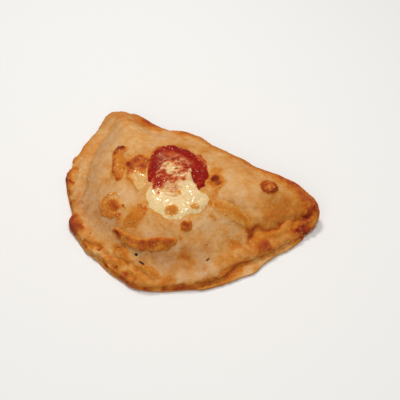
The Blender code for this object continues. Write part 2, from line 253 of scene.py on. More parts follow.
# Folds and pleats: line, half width and lift in mm, browning, oil
CREASES = (
    # The groove inside the left rim, and the rounded band outside it
    (((-91, 54), (-90, 38), (-89, 22), (-82, 4), (-76, -9), (-70, -21), (-62, -33), (-49, -46)),
     3.0, -1.9, 0.06, 0.0),
    (((-100, 46), (-96, 28), (-91, 12), (-84, -2), (-77, -15), (-70, -28), (-60, -40)),
     3.6, 1.1, -0.05, 0.1),
    # Brown streaks across the left rim
    (((-92, -5), (-84, -8)), 1.8, -0.5, 0.20, 0.5),
    (((-88, -22), (-78, -24)), 1.8, -0.5, 0.22, 0.6),
    (((-80, -31), (-73, -31)), 1.8, -0.5, 0.22, 0.6),
    (((-72, -40), (-63, -37)), 1.8, -0.4, 0.16, 0.4),
    # The open slit, its ends, its upper lip and the roll under it
    (((-35, -61.5), (-26, -64.5), (-14, -64)), 2.3, -1.6, 0.22, 0.0),
    (((-34, -62), (-31, -63)), 1.1, -0.6, 0.22, 0.0),
    (((-18, -65), (-15, -64)), 0.9, -0.6, 0.22, 0.0),
    (((-36, -59), (-27, -61.5), (-14, -61)), 2.0, 0.8, 0.05, 0.0),
    (((-30, -68), (-18, -68.5), (-8, -68)), 2.0, 0.9, -0.08, 0.0),
    # Pleats of the front rim
    (((-6, -61), (4, -61), (14, -63)), 2.6, 1.2, 0.02, 0.5),
    (((18, -63), (28, -62), (40, -61)), 2.8, 1.3, 0.02, 0.6),
    (((-10, -70.5), (2, -68.5), (12, -67)), 2.2, 1.2, 0.02, 0.5),
    (((14, -70), (24, -69.5), (36, -70)), 2.2, 1.1, 0.04, 0.5),
    # Furrows between the pleats
    (((-14, -65.5), (-4, -66), (8, -65), (15, -66)), 1.3, -1.1, 0.12, 0.3),
    (((-12, -72), (0, -72.5), (12, -73)), 1.2, -0.9, 0.16, 0.2),
    (((12, -61), (20, -66), (30, -66.5), (40, -66)), 1.4, -1.1, 0.14, 0.3),
    (((14, -73), (20, -72), (28, -73)), 1.3, -1.0, 0.26, 0.2),
    # The edge of the upper sheet of dough, browned along it and partly darkened as painted shade where
    # the sheets meet
    (((44, -66), (57, -57.5), (68, -46.5), (74, -38), (78.5, -30)), 1.4, -1.0, 0.16, 0.0),
    (((76, -34), (79.5, -25), (80.5, -16), (84, -8), (89, 0)), 1.9, -1.0, 0.17, 0.0),
    (((89, -1), (91.5, 2), (96, 9), (99, 17), (102, 26), (104, 35)), 1.3, -1.0, 0.05, 0.0),
    # The lower sheet's golden edge
    (((52, -62), (64, -52), (73, -42), (81, -31), (85, -21)), 3.4, -0.1, 0.24, 0.25),
    (((85, -19), (87, -13)), 2.6, 0.0, 0.10, 0.6),
    # The crease at the right side
    (((78, 3), (80, 9), (78, 15), (80, 20), (85, 24), (89, 29), (91, 35), (95, 44)),
     2.0, -1.1, 0.27, 0.1),
    (((77, 4), (79, 10), (77.5, 15.5), (81, 22)), 3.3, -0.5, 0.22, 0.0),
    (((96, 43), (100, 49), (104, 55), (108, 59)), 1.4, -1.0, 0.08, 0.2),
    # The rolls on both sides of it, and the lip under them, a little darker as painted shade
    (((72, 10), (73, 18), (78, 26), (84, 32), (87, 39), (92, 46), (98, 54)), 3.4, 1.4, 0.0, 0.2),
    (((84, 8), (87, 18), (93, 28), (97, 38), (101, 48)), 3.2, 1.5, -0.08, 0.4),
    (((86, 2), (92, 10), (98, 19), (103, 28)), 1.7, 0.3, 0.03, 0.0),
)
# How far each topping's fat spreads into the dough round it, in mm, how strongly, and how that
# changes the dough's browning
HALOS = {
    "mozzarella": (6.5, 1.0, -0.24),
    "tomato_sauce": (3.4, 0.6, 0.02),
    "cheese_hook": (3.2, 0.9, 0.0),
    "cheese_flow": (3.0, 0.6, 0.0),
    "cheese_patch": (2.0, 0.7, 0.0),
    "cheese_string": (2.6, 0.25, -0.04),
    "cheese_trail": (3.0, 0.5, 0.0),
    "cheese_button": (2.6, 0.2, -0.10),
    "cheese_drop": (2.6, 1.0, 0.02),
    "cheese_spot": (5.0, 1.3, 0.04),
    "cheese_disc": (2.4, 0.8, 0.02),
}


class DoughSettings(bpy.types.PropertyGroup):
    net: FloatProperty(
        name="Net", description="Spacing of the dough's mesh",
        default=0.0009, min=0.0005, unit="LENGTH")
    unevenness: FloatProperty(
        name="Unevenness", description="Height of the dough's broad humps",
        default=0.0008, unit="LENGTH")
    wrinkles: FloatProperty(
        name="Wrinkles", description="Height of the dough's small wrinkles",
        default=0.0003, unit="LENGTH")
    pale: FloatVectorProperty(
        name="Pale", description="Dough that is barely baked",
        default=(0.66, 0.40, 0.205), subtype="COLOR", size=3)
    baked: FloatVectorProperty(
        name="Baked", description="Most of the dough",
        default=(0.61, 0.320, 0.112), subtype="COLOR", size=3)
    toasted: FloatVectorProperty(
        name="Toasted", description="Lightly browned dough",
        default=(0.55, 0.208, 0.034), subtype="COLOR", size=3)
    browned: FloatVectorProperty(
        name="Browned", description="Browned dough",
        default=(0.49, 0.145, 0.017), subtype="COLOR", size=3)
    reddened: FloatVectorProperty(
        name="Reddened", description="Dark, reddish dough",
        default=(0.37, 0.066, 0.016), subtype="COLOR", size=3)
    scorched: FloatVectorProperty(
        name="Scorched", description="Scorched dough",
        default=(0.21, 0.022, 0.0115), subtype="COLOR", size=3)
    burnt: FloatVectorProperty(
        name="Burnt", description="Burnt dough",
        default=(0.05, 0.014, 0.010), subtype="COLOR", size=3)


class TomatoSettings(bpy.types.PropertyGroup):
    net: FloatProperty(
        name="Net", description="Spacing of the tomato's mesh",
        default=0.00042, min=0.0003, unit="LENGTH")
    lumps: FloatProperty(
        name="Lumps", description="Height of the pulp's lumps",
        default=0.0012, unit="LENGTH")
    flesh: FloatVectorProperty(
        name="Flesh", description="Most of the tomato",
        default=(0.29, 0.012, 0.006), subtype="COLOR", size=3)
    bright: FloatVectorProperty(
        name="Bright", description="Thin, orange-red tomato",
        default=(0.47, 0.085, 0.016), subtype="COLOR", size=3)


class MozzarellaSettings(bpy.types.PropertyGroup):
    net: FloatProperty(
        name="Net", description="Spacing of the mozzarella's mesh",
        default=0.00042, min=0.0003, unit="LENGTH")
    milk: FloatVectorProperty(
        name="Milk", description="Thick mozzarella",
        default=(0.72, 0.51, 0.26), subtype="COLOR", size=3)
    # Lighter than milk, partly as painted light against the shade on the mozzarella's sloping edges
    cream: FloatVectorProperty(
        name="Cream", description="Thin, clear mozzarella",
        default=(0.85, 0.58, 0.26), subtype="COLOR", size=3)


class BrownedCheeseSettings(bpy.types.PropertyGroup):
    net: FloatProperty(
        name="Net", description="Spacing of the browned cheese's mesh",
        default=0.0004, min=0.0003, unit="LENGTH")
    melted: FloatVectorProperty(
        name="Melted", description="Cheese that is only melted",
        default=(0.67, 0.38, 0.125), subtype="COLOR", size=3)
    golden: FloatVectorProperty(
        name="Golden", description="Golden cheese",
        default=(0.57, 0.195, 0.020), subtype="COLOR", size=3)
    brown: FloatVectorProperty(
        name="Brown", description="Browned cheese",
        default=(0.43, 0.088, 0.012), subtype="COLOR", size=3)
    dark: FloatVectorProperty(
        name="Dark", description="Darkest cheese",
        default=(0.17, 0.018, 0.007), subtype="COLOR", size=3)


class SeasoningSettings(bpy.types.PropertyGroup):
    seed: IntProperty(
        name="Seed", description="Another seed turns and shapes the crumbs in another way",
        default=4)
    char: FloatVectorProperty(
        name="Char", description="Burnt crumbs",
        default=(0.018, 0.012, 0.012), subtype="COLOR", size=3)
    herb: FloatVectorProperty(
        name="Herb", description="Dried herb",
        default=(0.125, 0.062, 0.028), subtype="COLOR", size=3)


class StageSettings(bpy.types.PropertyGroup):
    azimuth: FloatProperty(
        name="Azimuth", description="The camera's place round the calzone",
        default=math.radians(35), subtype="ANGLE")
    elevation: FloatProperty(
        name="Elevation", description="The camera's height over the floor",
        default=math.radians(48), subtype="ANGLE")
    distance: FloatProperty(
        name="Distance", description="From the camera to what it looks at",
        default=0.78, unit="LENGTH")
    lens: FloatProperty(
        name="Lens", description="Focal length in millimetres",
        default=85.0)
    daylight: FloatProperty(
        name="Daylight", description="Brightness of the light from all round",
        default=0.30)
    window: FloatProperty(
        name="Window", description="Power of the large light at the back left",
        default=6.0)
    floor: FloatVectorProperty(
        name="Floor", description="The floor's colour",
        default=(0.80, 0.785, 0.76), subtype="COLOR", size=3)


SETTINGS = {
    "calzone_dough": DoughSettings,
    "calzone_tomato": TomatoSettings,
    "calzone_mozzarella": MozzarellaSettings,
    "calzone_cheese": BrownedCheeseSettings,
    "calzone_seasoning": SeasoningSettings,
    "calzone_stage": StageSettings,
}


# Shapes of marks on the dough, over places in millimetres

def patch(x, y, at, size, turn=0, crisp=1):
    """1 at a place, fading round it; a larger crisp gives a flatter middle and a harder edge."""
    c, s = math.cos(math.radians(turn)), math.sin(math.radians(turn))
    dx, dy = x - at[0], y - at[1]
    along, across = (dx * c + dy * s) / size[0], (dy * c - dx * s) / size[1]
    return np.exp(-((along * along + across * across) ** crisp))


def areas(x, y, rows, crisp=1):
    """The sum of many places, each with its size, turn and amount."""
    return sum(amount * patch(x, y, at, size, turn, crisp) for at, size, turn, amount in rows)


def smooth_line(points, steps=8):
    """More points on a smooth curve through a few."""
    p = np.asarray(points, float)
    at = np.linspace(0, len(p) - 1, (len(p) - 1) * steps + 1)
    row = np.minimum(np.floor(at).astype(int), len(p) - 2)
    t = (at - row)[:, None]
    a, b, c, d = (p[np.clip(row + k, 0, len(p) - 1)] for k in (-1, 0, 1, 2))
    return b + 0.5 * t * (c - a + t * (2 * a - 5 * b + 4 * c - d + t * (3 * (b - c) + d - a)))


def off_line(x, y, points):
    """How far each place is from a smooth line, and how far along it, from 0 to 1."""
    line = smooth_line(points)
    nearest, where = np.full(x.shape, 1e9), np.zeros(x.shape)
    for k, (a, b) in enumerate(zip(line[:-1], line[1:])):
        d = b - a
        t = np.clip(((x - a[0]) * d[0] + (y - a[1]) * d[1]) / (d @ d), 0, 1)
        away = np.hypot(x - a[0] - t * d[0], y - a[1] - t * d[1])
        closer = away < nearest
        nearest[closer], where[closer] = away[closer], (k + t[closer]) / (len(line) - 1)
    return nearest, where


def along(x, y, points, half):
    """1 on a smooth line, fading past its half width and towards its ends."""
    away, where = off_line(x, y, points)
    taper = np.clip(np.minimum(where, 1 - where) / 0.18, 0.25, 1)
    return np.exp(-((away / (half * taper)) ** 2)) * np.clip(taper * 1.3, 0, 1)


def clouds(places, size, detail=3, shift=0.0):
    """Soft noise about -1 to 1 over places in mm, with features of the given size."""
    p = places / size + shift
    soft = [noise.fractal(Vector(v), 0.9, 2.1, detail, noise_basis="PERLIN_ORIGINAL") for v in p]
    return 1.7 * np.array(soft)


def lumps(places, size, shift=0.0):
    """Rounded lumps from 0 between them to 1 on top, of the given size."""
    p = places / size + shift
    first = np.array([noise.voronoi(Vector(v))[0][0] for v in p])
    return np.clip(1 - (first / 0.62) ** 2, 0, 1)


def smooth(low, high, value):
    """0 at low, 1 at high, and an even curve between them."""
    share = np.clip((value - low) / (high - low), 0.0, 1.0)
    return share * share * (3 - 2 * share)


def read(mesh, what):
    """The mesh's places or normals as one array."""
    out = np.empty(len(mesh.vertices) * 3)
    if what == "normals":
        mesh.vertex_normals.foreach_get("vector", out)
    else:
        mesh.vertices.foreach_get("co", out)
    return out.reshape(-1, 3)


def tint(mesh, **values):
    """Writes one value per point for the materials to read."""
    for name, value in values.items():
        layer = mesh.attributes.new(name, "FLOAT", "POINT")
        layer.data.foreach_set("value", np.asarray(value, np.float32))


# Pieces

def copy_of(node, name):
    """A welded copy of a CAD node as a new piece."""
    bm = bmesh.new()
    bm.from_mesh(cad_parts[node].data)
    bmesh.ops.remove_doubles(bm, verts=bm.verts, dist=1e-6)
    mesh = bpy.data.meshes.new(name)
    bm.to_mesh(mesh)
    bm.free()
    piece = bpy.data.objects.new(name, mesh)
    bpy.context.scene.collection.objects.link(piece)
    return piece


def settle(piece):
    """Applies the piece's modifiers."""
    bpy.context.view_layer.update()
    done = bpy.data.meshes.new_from_object(piece.evaluated_get(bpy.context.evaluated_depsgraph_get()))
    piece.modifiers.clear()
    piece.data = done
    done.shade_smooth()
    return done


def tree_of(mesh):
    """A tree for finding the nearest place on a mesh."""
    bm = bmesh.new()
    bm.from_mesh(mesh)
    tree = BVHTree.FromBMesh(bm)
    bm.free()
    return tree


def remesh(piece, net, grow=0.0):
    """Rounds the piece, grows it, and gives it an even, fine mesh."""
    round_off = piece.modifiers.new("Round", "SUBSURF")
    round_off.levels = round_off.render_levels = 2
    if grow:
        swell = piece.modifiers.new("Grow", "DISPLACE")
        swell.strength, swell.mid_level = grow, 0
    even = piece.modifiers.new("Net", "REMESH")
    even.mode, even.voxel_size, even.use_smooth_shade = "VOXEL", net, True
    ease = piece.modifiers.new("Ease", "SMOOTH")
    ease.factor, ease.iterations = 0.5, 3
    return settle(piece)


# The bare dough and its tree, made once
BASE = {}


def bare_dough():
    """The dough without its small relief, as a piece and as a tree for finding feet on it."""
    if "tree" not in BASE:
        piece = copy_of("crust", "baked_crust")
        remesh(piece, bpy.context.scene.calzone_dough.net)
        BASE["piece"] = piece
        BASE["tree"] = tree_of(piece.data)
    return BASE["piece"], BASE["tree"]


TOPPED_FROM = 8     # no topping lies lower than this, in mm


def fat_round_toppings(places, upness):
    """How oily the dough is near each topping, and how that changes its browning."""
    oil, brown = np.zeros(len(places)), np.zeros(len(places))
    near = np.flatnonzero((upness > 0) & (places[:, 2] > TOPPED_FROM))
    for name, (reach, amount, browning) in HALOS.items():
        tree = tree_of(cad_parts[name].data)
        low, high = (np.array(corner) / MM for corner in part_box(name))
        flat = places[near, :2]
        close = near[np.all((flat > low[:2] - reach) & (flat < high[:2] + reach), axis=1)]
        uneven = 1 + 0.6 * clouds(places[close], 5, 2, 4.9)
        for k, share in zip(close, uneven):
            away = tree.find_nearest(Vector(places[k]) * MM, reach * MM)[3]
            if away is not None:
                mark = max(0.0, 1 - away / MM / reach * share)
                oil[k] = max(oil[k], amount * mark)
                brown[k] += browning * mark
    return oil, brown


BROAD_WANDER, FINE_WANDER = 1.5, 0.55   # how far marks wander, in mm
PLAIN_BROWNING = 0.20                   # of dough with no mark on it
DARK_FROM, DARK_ROOM = 0.6, 0.28        # past the first, browning eases off towards the sum of both


def dough_marks(places, upness):
    """Lift in mm, browning, oil, and dullness that is partly painted shade, of the dough at places in
    mm.
    """
    s = bpy.context.scene.calzone_dough
    # Marks wander off their exact places, so that none has a clean outline
    x, y = places[:, 0], places[:, 1]
    x = x + BROAD_WANDER * clouds(places, 11, 2, 3.1) + FINE_WANDER * clouds(places, 3.2, 2, 1.3)
    y = y + BROAD_WANDER * clouds(places, 11, 2, 7.7) + FINE_WANDER * clouds(places, 3.2, 2, 5.9)
    z = places[:, 2]
    # Broad humps, wrinkles, and fine unevenness that is stronger on the rim
    rim = smooth(13, 7, z)
    lift = s.unevenness / MM * clouds(places, 34, 2, 0.4) + s.wrinkles / MM * clouds(places, 9, 3, 2.2)
    lift += (0.10 + 0.22 * rim) * clouds(places, 2.6, 2, 8.4)
    brown = PLAIN_BROWNING + areas(x, y, BAKED_AREAS)
    dull = areas(x, y, DULL_AND_SHADE_AREAS)
    oil = areas(x, y, OILY_AREAS, 1.5)
    for at, size, turn, height, amount in BLISTERS:
        mark = patch(x, y, at, size, turn, 1.6)
        lift += height * mark
        brown += amount * mark
    for line, half, height, amount, wet in CREASES:
        mark = along(x, y, line, half)
        lift += height * mark
        brown += amount * mark
        oil += wet * mark
    # The rim is browner, in patches, most of all at the left and the front
    ring = smooth(11, 5, z) * smooth(-0.75, 0.1, upness)
    left = smooth(-40, -70, x)
    front = smooth(-30, -55, y) * smooth(70, 40, x)
    brown += ring * (0.20 + 0.12 * clouds(places, 7, 2, 4.4)) * (0.6 + 0.7 * np.maximum(left, front))
    right = smooth(56, 70, x) * smooth(34, 14, y)
    brown -= 0.12 * ring * right
    # Crumbly burnt corner
    corner = patch(x, y, (104, 49), (7, 15), -8, 2)
    lift += corner * (1.5 * lumps(places, 3.6, 0.7) - 0.6)
    brown += corner * (0.06 + 0.16 * clouds(places, 4.2, 2, 9.1))
    oil += 0.6 * corner
    # Cloudiness all over
    brown += 0.05 * clouds(places, 16, 3, 12.1) + 0.06 * clouds(places, 5, 2, 14.2)
    dull += 0.30 * clouds(places, 20, 2, 17.3)
    over = np.maximum(brown - DARK_FROM, 0)
    brown = np.where(over > 0, DARK_FROM + DARK_ROOM * (1 - np.exp(-over / DARK_ROOM)), brown)
    # The underside is flat and floury, with darker patches where it touched the oven floor
    flat = smooth(0.2, -0.6, upness)
    lift *= 1 - flat * smooth(2.5, 1.0, z)
    under = flat * smooth(3.0, 0.5, z)
    brown = brown * (1 - under) + under * (0.30 + 0.22 * clouds(places, 14, 3, 6.6))
    return lift, brown, np.clip(oil, 0, 1) * (1 - flat), np.clip(dull, 0, 1)


# In mm: where a ray starts inside a topping and how far it goes, the height from which another
# one looks down at the topping below, and how deep a topping's edge goes into the dough
STEP_IN, DEEPEST, TALLEST, SINK = 0.05, 20, 10, 0.6


def melt_onto(node, name, net, shape, thickness, grow=1.0, ease=1, over=None):
    """A topping from its CAD node, laid on the finished dough or over another finished topping.

    shape takes places, how full the piece is there (1 in the middle, 0 at the edge) and the
    height of what lies under it in mm, and gives the height of its own top over that and the
    values that the material reads.
    """
    _, tree = bare_dough()
    piece = copy_of(node, name)
    mesh = remesh(piece, net, grow * MM)
    own = tree_of(mesh)
    lower = tree_of(over.data) if over else None
    places, facing = read(mesh, "places"), read(mesh, "normals")
    feet, out = np.empty_like(places), np.empty_like(places)
    thick, ground = np.zeros(len(places)), np.zeros(len(places))
    for k, place in enumerate(places):
        foot, normal, _, _ = tree.find_nearest(place)
        feet[k], out[k] = foot, normal
        if normal.dot(Vector(facing[k])) > 0:
            hit = own.ray_cast(Vector(place) - normal * STEP_IN * MM, -normal, DEEPEST * MM)
            thick[k] = hit[3] / MM if hit[0] else 0
        if lower:
            hit = lower.ray_cast(foot + normal * TALLEST * MM, -normal, (TALLEST + 0.5) * MM)
            ground[k] = TALLEST - hit[3] / MM if hit[0] else 0
    lift, *_ = dough_marks(feet / MM, out[:, 2])
    ground = np.maximum(ground, lift)
    full = np.clip(thick / (thickness + 2 * grow), 0, 1) ** 2
    new, values = shape(places / MM, full, ground - lift)
    new = ground + np.where(thick > 0, new, -SINK)
    mesh.vertices.foreach_set("co", (feet + out * (new * MM)[:, None]).ravel())
    tint(mesh, **values)
    soften = piece.modifiers.new("Soften", "SMOOTH")
    soften.factor, soften.iterations = 0.5, ease
    settle(piece)
    return piece


def stand_in(piece, node, material):
    """Gives the finished piece its material and its body, and hides the CAD node it replaces."""
    piece.data.materials.clear()
    piece.data.materials.append(material)
    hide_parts(node)
    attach(piece, "root")


# Materials

def node(tree, kind, values=(), **settings):
    """A shader node with its settings and the values of its inputs."""
    made = tree.nodes.new("ShaderNode" + kind)
    for name, value in settings.items():
        setattr(made, name, value)
    for name, value in dict(values).items():
        if isinstance(value, bpy.types.NodeSocket):
            tree.links.new(value, made.inputs[name])
        else:
            made.inputs[name].default_value = value
    return made


def look(name):
    """A new material, with its tree and its Principled shader."""
    made = bpy.data.materials.new(name)
    made.use_nodes = True
    return made, made.node_tree, made.node_tree.nodes["Principled BSDF"]


def value_of(tree, name):
    """A value that tint wrote on the mesh."""
    return node(tree, "Attribute", attribute_name=name).outputs["Fac"]


def maths(tree, how, a, b, clamp=False):
    """Two values joined by a Math node; clamp keeps the result from 0 to 1."""
    return node(tree, "Math", {0: a, 1: b}, operation=how, use_clamp=clamp).outputs[0]


def mixed(tree, share, a, b, blend="MIX"):
    """Colour a with a share of colour b; each is a socket or red, green and blue."""
    made = node(tree, "Mix", data_type="RGBA", blend_type=blend)
    for socket, value in ((0, share), (6, a), (7, b)):
        if isinstance(value, bpy.types.NodeSocket):
            tree.links.new(value, made.inputs[socket])
        else:
            made.inputs[socket].default_value = value if socket == 0 else (*value, 1)[:4]
    return made.outputs[2]


def ranged(tree, value, given, wanted, clamp=True):
    """A value moved from one range to another."""
    return node(tree, "MapRange", {
        "Value": value, 1: given[0], 2: given[1], 3: wanted[0], 4: wanted[1]}, clamp=clamp).outputs[0]


def ramp(tree, share, steps):
    """A colour ramp through (place, colour) steps."""
    made = node(tree, "ValToRGB", {"Fac": share})
    band = made.color_ramp
    while len(band.elements) < len(steps):
        band.elements.new(0.5)
    for element, (at, colour) in zip(band.elements, steps):
        element.position, element.color = at, (*colour, 1)
    return made.outputs["Color"]


def new_group(name, inputs, output):
    """A node group that turns numbers into one number, with its first and last node."""
    group = bpy.data.node_groups.new(name, "ShaderNodeTree")
    for label, default in inputs:
        socket = group.interface.new_socket(label, in_out="INPUT", socket_type="NodeSocketFloat")
        socket.default_value = default
    group.interface.new_socket(output, in_out="OUTPUT", socket_type="NodeSocketFloat")
    return group, group.nodes.new("NodeGroupInput"), group.nodes.new("NodeGroupOutput")


def mottle_group():
    """Adds irregular mottling of one size to a value."""
    name = "Mottling"
    if name in bpy.data.node_groups:
        return bpy.data.node_groups[name]
    group, start, end = new_group(
        name, (("Value", 0.0), ("Size", 0.005), ("Amount", 0.1), ("Shift", 0.0)), "Value")
    where = node(group, "TexCoord").outputs["Object"]
    shifted = node(
        group, "VectorMath", {0: where, 1: start.outputs["Shift"]}, operation="ADD").outputs[0]
    scale = maths(group, "DIVIDE", 1.0, start.outputs["Size"])
    cloud = node(group, "TexNoise", {
        "Vector": shifted, "Scale": scale, "Detail": 3.0, "Roughness": 0.6}).outputs[0]
    centred = ranged(group, cloud, (0.25, 0.75), (-1.0, 1.0), clamp=False)
    swing = maths(group, "MULTIPLY", centred, start.outputs["Amount"])
    group.links.new(maths(group, "ADD", start.outputs["Value"], swing), end.inputs["Value"])
    return group


def mottled(tree, value, size, amount, shift=0.0):
    """A value with mottling of the given size; another shift gives other mottling."""
    made = node(tree, "Group", {
        "Value": value, "Size": size, "Amount": amount, "Shift": shift}, node_tree=mottle_group())
    return made.outputs["Value"]


def painted_glint_group():
    """Painted glints: small pale specks in clusters, painted into the colour."""
    name = "Beads"
    if name in bpy.data.node_groups:
        return bpy.data.node_groups[name]
    group, start, end = new_group(name, (("Spacing", 0.002), ("Share", 0.3)), "Mask")
    where = node(group, "TexCoord").outputs["Object"]
    scale = maths(group, "DIVIDE", 1.0, start.outputs["Spacing"])
    cells = node(group, "TexVoronoi", {"Vector": where, "Scale": scale, "Randomness": 1.0})
    # A painted glint speck fades out between these shares of the spacing
    dot = ranged(group, cells.outputs["Distance"], (0.16, 0.26), (1.0, 0.0))
    cluster = mottled(group, start.outputs["Share"], 0.007, 0.35, 9.0)
    kept = maths(group, "LESS_THAN", cells.outputs["Color"], cluster)
    group.links.new(maths(group, "MULTIPLY", dot, kept), end.inputs["Mask"])
    return group


def painted_glints(tree, spacing, share):
    """Where the painted glint specks are, from 0 to 1; share is how many of the places for one have one.
    """
    made = node(tree, "Group", {"Spacing": spacing, "Share": share}, node_tree=painted_glint_group())
    return made.outputs["Mask"]


def glint(tree, most, wet=0.0):
    """Small wet areas, from dry to the given coat; a lower wet leaves fewer of them."""
    wet = maths(tree, "MULTIPLY", mottled(tree, wet, 0.0018, 2.6, 8.0), 1.0, clamp=True)
    return maths(tree, "MULTIPLY", wet, most)


def grained(tree, shader, coarse, fine, depth, fine_share=0.25):
    """Gives the surface grain of two sizes, of the given depth."""
    grain = mottled(tree, mottled(tree, 0.0, coarse, 0.6, 5.0), fine, fine_share, 6.0)
    bump = node(tree, "Bump", {"Height": grain, "Distance": depth, "Strength": 0.8})
    tree.links.new(bump.outputs[0], shader.inputs["Normal"])


def moist(shader, coat_roughness, coat_ior, soft, reach):
    """Sets what is the same all over a food: its wet coat, and how light spreads inside it."""
    for name, value in (
            ("Specular IOR Level", 0.04),
            ("Coat Roughness", coat_roughness),
            ("Coat IOR", coat_ior),
            ("Subsurface Weight", soft),
            ("Subsurface Radius", reach),
            ("Subsurface Scale", 1.0)):
        shader.inputs[name].default_value = value


# Multiply the dough's colour where fat has soaked in, and where it is dull, partly as painted shade
OILED, GREYED = (0.90, 0.66, 0.24), (0.82, 0.79, 0.94)
# The thinnest tomato, and tomato with a veil of mozzarella over it
THIN_TOMATO, MILKY_TOMATO = (0.60, 0.22, 0.08), (0.66, 0.33, 0.14)
# Painted glints: pale specks painted on the dough, the tomato, the mozzarella and the browned cheese
DOUGH_PAINTED_GLINT, TOMATO_PAINTED_GLINT = (0.86, 0.64, 0.28), (0.92, 0.66, 0.34)
MOZZARELLA_PAINTED_GLINT, BROWNED_PAINTED_GLINT = (1.0, 0.94, 0.72), (0.96, 0.74, 0.36)
# Multiply the mozzarella's colour, from clean to deeply stained with tomato
STAIN_STEPS = (
    (0.12, (1, 1, 1)), (0.36, (0.90, 0.70, 0.58)), (0.60, (0.74, 0.36, 0.25)),
    (0.84, (0.55, 0.10, 0.06)), (1.0, (0.42, 0.035, 0.03)))
# Multiply the mozzarella's colour, from unbaked to its brownest spots
SPOT_STEPS = (
    (0.15, (1, 1, 1)), (0.45, (0.85, 0.55, 0.21)), (0.75, (0.72, 0.34, 0.06)), (1.0, (0.50, 0.14, 0.06)))
FRECKLES = 190.0    # the dough's darker freckles, per metre


def dough_look():
    """Dough from pale to burnt, with oily, dull and freckled places."""
    s = bpy.context.scene.calzone_dough
    made, tree, shader = look("baked dough")
    brown = value_of(tree, "brown")
    # Mottling from broad to fine: size in metres, amount, shift
    for size, amount, shift in (
            (0.024, 0.06, 0.1), (0.008, 0.07, 0.3), (0.0030, 0.08, 0.7), (0.0010, 0.08, 1.1)):
        brown = mottled(tree, brown, size, amount, shift)
    where = node(tree, "TexCoord").outputs["Object"]
    freckle = node(tree, "TexVoronoi", {"Vector": where, "Scale": FRECKLES, "Randomness": 1.0})
    dots = ranged(tree, freckle.outputs["Distance"], (0.05, 0.16), (0.14, 0.0))
    brown = maths(tree, "ADD", brown, dots)
    brown = maths(tree, "ADD", brown, maths(tree, "MULTIPLY", value_of(tree, "oil"), 0.10))
    colour = ramp(tree, brown, (
        (0.0, s.pale), (0.20, s.baked), (0.40, s.toasted), (0.56, s.browned),
        (0.72, s.reddened), (0.86, s.scorched), (1.0, s.burnt)))
    uneven = mottled(tree, 1.0, 0.005, 0.45, 2.0)
    oil = maths(tree, "MULTIPLY", value_of(tree, "oil"), uneven, clamp=True)
    dry = maths(tree, "SUBTRACT", 1.3, brown, clamp=True)
    oil = maths(tree, "MULTIPLY", oil, dry)
    colour = mixed(tree, oil, colour, OILED, "MULTIPLY")
    # Dull, greyer places, partly painted shade
    uneven = mottled(tree, 0.9, 0.012, 0.4, 3.0)
    dull = maths(tree, "MULTIPLY", value_of(tree, "dull"), uneven, clamp=True)
    colour = mixed(tree, dull, colour, GREYED, "MULTIPLY")
    # Painted glints: pale specks where the dough is oily
    fat_and_painted_glints = painted_glints(tree, 0.0016, maths(tree, "MULTIPLY", oil, 0.4))
    colour = mixed(tree, maths(tree, "MULTIPLY", fat_and_painted_glints, 0.6), colour, DOUGH_PAINTED_GLINT)
    tree.links.new(colour, shader.inputs["Base Color"])
    tree.links.new(mottled(tree, 0.6, 0.004, 0.08, 4.0), shader.inputs["Roughness"])
    wet = maths(tree, "MULTIPLY", oil, maths(tree, "SUBTRACT", 1.0, brown, clamp=True))
    tree.links.new(maths(tree, "MULTIPLY", wet, glint(tree, 0.15)), shader.inputs["Coat Weight"])
    grained(tree, shader, 0.0016, 0.0006, 0.00012)
    moist(shader, 0.14, 1.7, 0.10, (0.004, 0.0018, 0.0008))
    return made


def tomato_look():
    """Wet red pulp, orange where it is thin and pinkish under the mozzarella's veil."""
    s = bpy.context.scene.calzone_tomato
    made, tree, shader = look("tomato pulp")
    bright = mottled(tree, value_of(tree, "bright"), 0.005, 0.16, 0.2)
    bright = mottled(tree, bright, 0.0016, 0.12, 0.9)
    colour = ramp(tree, bright, (
        (0.0, [c * 0.72 for c in s.flesh]), (0.3, s.flesh), (0.72, s.bright), (1.0, THIN_TOMATO)))
    milky = mottled(tree, value_of(tree, "milky"), 0.0016, 0.15, 2.2)
    milky = maths(tree, "MULTIPLY", milky, 0.9, clamp=True)
    colour = mixed(tree, milky, colour, MILKY_TOMATO)
    # Painted glints: pale specks on the tomato
    colour = mixed(tree, maths(tree, "MULTIPLY", painted_glints(tree, 0.0018, 0.22), 0.7), colour, TOMATO_PAINTED_GLINT)
    tree.links.new(colour, shader.inputs["Base Color"])
    tree.links.new(mottled(tree, 0.45, 0.002, 0.1, 1.0), shader.inputs["Roughness"])
    tree.links.new(glint(tree, 0.5, -0.7), shader.inputs["Coat Weight"])
    grained(tree, shader, 0.0022, 0.0008, 0.00025)
    moist(shader, 0.07, 1.9, 0.12, (0.004, 0.0008, 0.0005))
    return made


